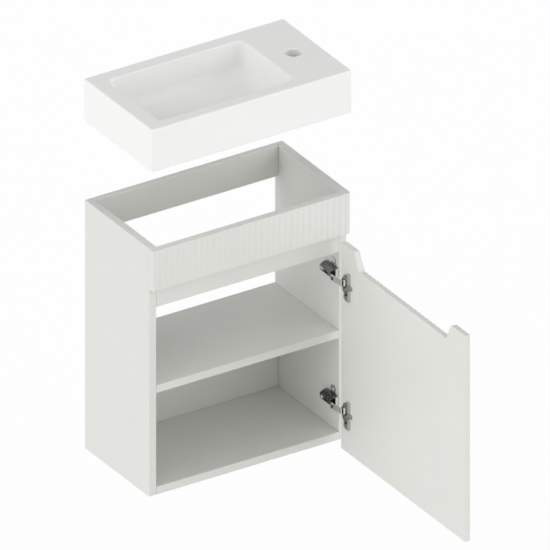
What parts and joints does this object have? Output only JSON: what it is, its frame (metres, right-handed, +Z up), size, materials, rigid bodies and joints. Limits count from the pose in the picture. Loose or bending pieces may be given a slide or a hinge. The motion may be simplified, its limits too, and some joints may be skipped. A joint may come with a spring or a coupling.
{
  "type": "cloakroom vanity unit",
  "caption": "Wall-hung cloakroom vanity unit: lacquered cupboard with a ribbed door on concealed hinges, a fixed shelf, and a lift-off basin with bowl and tap deck.",
  "frame": {"origin": "on the wall, at the middle of the back rail's rear face", "axes": "+X to the right seen from the front, +Y back into the wall, +Z up"},
  "size_m": [0.405, 0.6324, 0.7225],
  "materials": {
    "lacquered_board": "smooth satin white lacquer on board",
    "cast_basin": "smooth satin white casting",
    "plated_steel": "bright nickel plate on pressed steel",
    "zinc_screw": "zinc plated",
    "zinc_casting": "bare zinc casting",
    "beech_dowel": "fluted beech dowel"
  },
  "bodies": {
    "root": {"side_panel_left": "lacquered_board", "side_panel_right": "lacquered_board", "bottom_panel": "lacquered_board", "fixed_shelf": "lacquered_board", "lower_back_panel": "lacquered_board", "back_rail": "lacquered_board", "front_rail": "lacquered_board", "fluted_fascia": "lacquered_board", "fascia_screws": "zinc_screw", "carcass_dowels": "beech_dowel", "cam_bolts": "zinc_screw", "cam_locks": "zinc_casting", "arm_pins": "plated_steel", "lower_hinge_arm": "plated_steel", "upper_hinge_arm": "plated_steel", "arm_screws": "zinc_screw", "lower_mounting_plate": "plated_steel", "upper_mounting_plate": "plated_steel", "plate_screws": "zinc_screw"},
    "hinge_links": {"lower_hinge_link": "plated_steel", "upper_hinge_link": "plated_steel"},
    "door": {"fluted_door": "lacquered_board", "lower_hinge_cup": "plated_steel", "upper_hinge_cup": "plated_steel", "cup_screws": "zinc_screw", "cup_pins": "plated_steel"},
    "basin": {"basin": "cast_basin"}
  },
  "joints": [
    {"name": "link_swing", "type": "hinge", "parent": "root", "child": "hinge_links", "pos_m": [0.166, -0.2148, 0], "axis": [0, 0, 1], "range_deg": [-4.4, 77.6]},
    {"name": "door_swing", "type": "hinge", "parent": "hinge_links", "child": "door", "pos_m": [0.175, -0.24018, 0], "axis": [0, 0, 1], "range_deg": [-167.51, 9.31]},
    {"name": "basin_lift", "type": "slide", "parent": "root", "child": "basin", "axis": [0, 0, 1], "range_m": [-0.1555, 0]}
  ],
  "couplings": [
    {"joint": "link_swing", "follows": "door_swing", "ratio": -0.46273}
  ]
}
